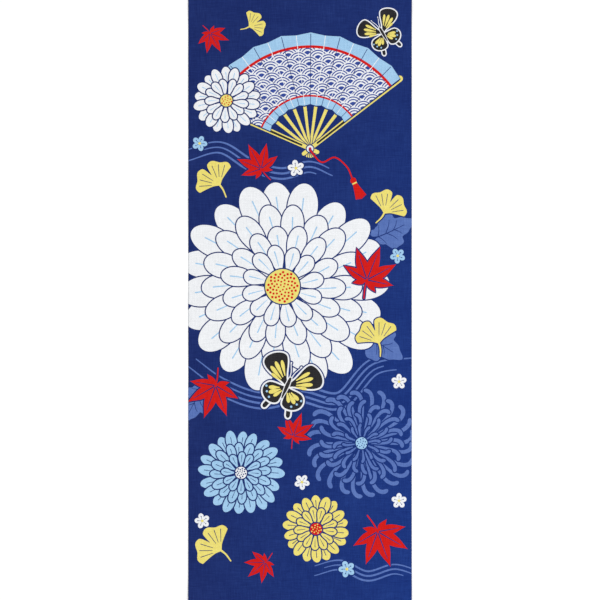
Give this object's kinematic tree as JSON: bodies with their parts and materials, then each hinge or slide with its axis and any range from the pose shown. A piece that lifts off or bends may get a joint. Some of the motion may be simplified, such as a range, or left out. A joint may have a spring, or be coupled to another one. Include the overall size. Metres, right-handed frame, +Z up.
{
  "type": "tenugui towel",
  "caption": "Flat rectangular hand towel of thin plain-woven cotton with turned selvedges and cut, unhemmed ends, printed on one face.",
  "frame": {"origin": "middle of the underside, on the surface the towel lies on", "axes": "+X across the cloth from selvedge to selvedge, +Y along it towards the top of the design, +Z up out of the printed face"},
  "size_m": [0.334, 0.9, 0.001],
  "materials": {
    "printed_cotton": "dyed and printed plain weave, matt"
  },
  "bodies": {
    "root": {"cloth": "printed_cotton"}
  },
  "joints": []
}
